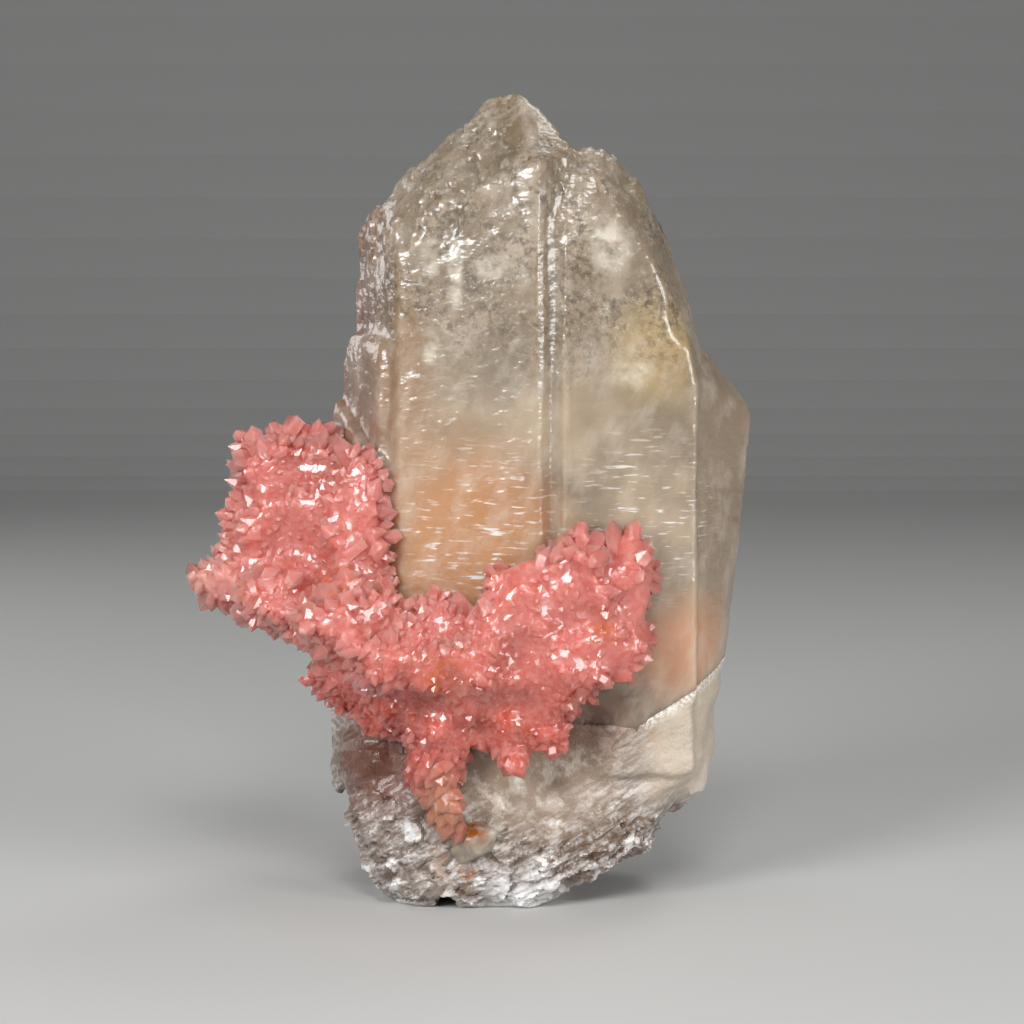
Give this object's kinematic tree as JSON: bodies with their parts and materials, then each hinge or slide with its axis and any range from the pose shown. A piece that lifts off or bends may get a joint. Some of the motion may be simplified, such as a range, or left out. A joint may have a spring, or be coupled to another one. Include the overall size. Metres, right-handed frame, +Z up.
{
  "type": "rose quartz crystal specimen",
  "caption": "Tall pale quartz crystal standing on its milky broken root, with a belt of small pink quartz crystals grown round its lower half.",
  "frame": {"origin": "bottom centre of the bounding box, on the surface that the specimen stands on", "axes": "+Z up along the large crystal, -Y out of its broad face, +X to the right of that face"},
  "size_m": [0.1168, 0.0786, 0.1639],
  "materials": {
    "pale_quartz": "natural crystal faces, see-through with a warm grey tint, lightly frosted",
    "milky_quartz": "opaque white broken quartz, rough and sugary, with pale brown stains",
    "rose_quartz": "translucent pink crystals with glassy faces and orange stains in the recesses",
    "clear_quartz": "glassy, nearly clear, with an orange-brown stain"
  },
  "bodies": {
    "root": {"large_quartz_crystal": "pale_quartz", "milky_quartz_root": "milky_quartz", "rose_quartz_belt": "rose_quartz", "small_clear_crystal": "clear_quartz"}
  },
  "joints": []
}
